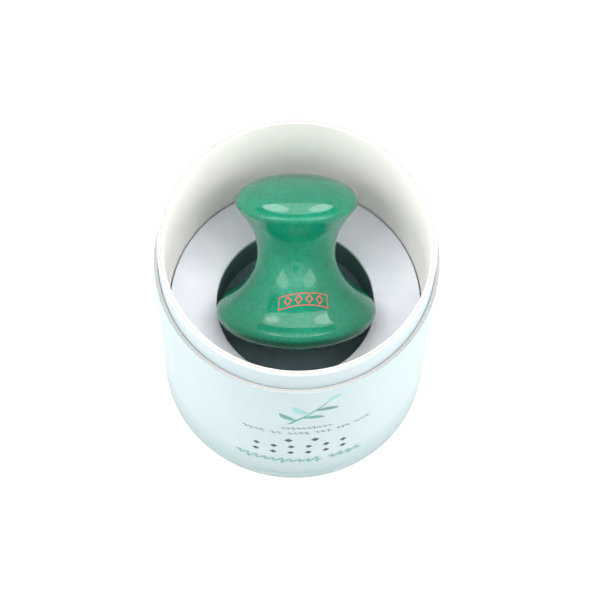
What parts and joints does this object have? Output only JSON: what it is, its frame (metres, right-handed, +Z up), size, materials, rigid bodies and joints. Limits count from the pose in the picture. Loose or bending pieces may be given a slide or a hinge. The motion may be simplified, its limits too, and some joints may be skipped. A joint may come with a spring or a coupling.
{
  "type": "mushroom massage stone in presentation tube",
  "caption": "Mushroom-shaped jade massage stone leaning in the round pocket of a foam insert, inside an open paper presentation tube with a raised neck.",
  "frame": {"origin": "centre of the presentation tube's underside, where it stands on a table", "axes": "+Z up along the tube's axis, out of its open mouth; +Y is the side that the stone leans back towards, and the print on the tube faces -Y"},
  "size_m": [0.066, 0.066, 0.0722],
  "materials": {
    "grey_board": "matt white-lined board",
    "printed_paper": "satin mint print",
    "label_paper": "matt uncoated",
    "liner_paper": "matt ivory",
    "neck_paper": "satin mint",
    "dark_foam": "closed-cell foam, matt",
    "pale_foam": "fine flocked foam, matt",
    "jade": "polished"
  },
  "bodies": {
    "tube": {"outer_tube": "grey_board", "outer_wrap": "printed_paper", "base_disc": "grey_board", "base_label": "label_paper", "neck_tube": "grey_board", "neck_liner": "liner_paper", "neck_wrap": "neck_paper"},
    "insert": {"insert_block": "dark_foam", "insert_ring": "dark_foam", "insert_top_sheet": "pale_foam"},
    "stone": {"massage_stone": "jade"}
  },
  "joints": [
    {"name": "insert_lift", "type": "slide", "parent": "tube", "child": "insert", "axis": [0, 0, 1], "range_m": [0, 0.075]},
    {"name": "stone_lift", "type": "slide", "parent": "insert", "child": "stone", "axis": [0, 0, 1], "range_m": [0, 0.06]}
  ]
}
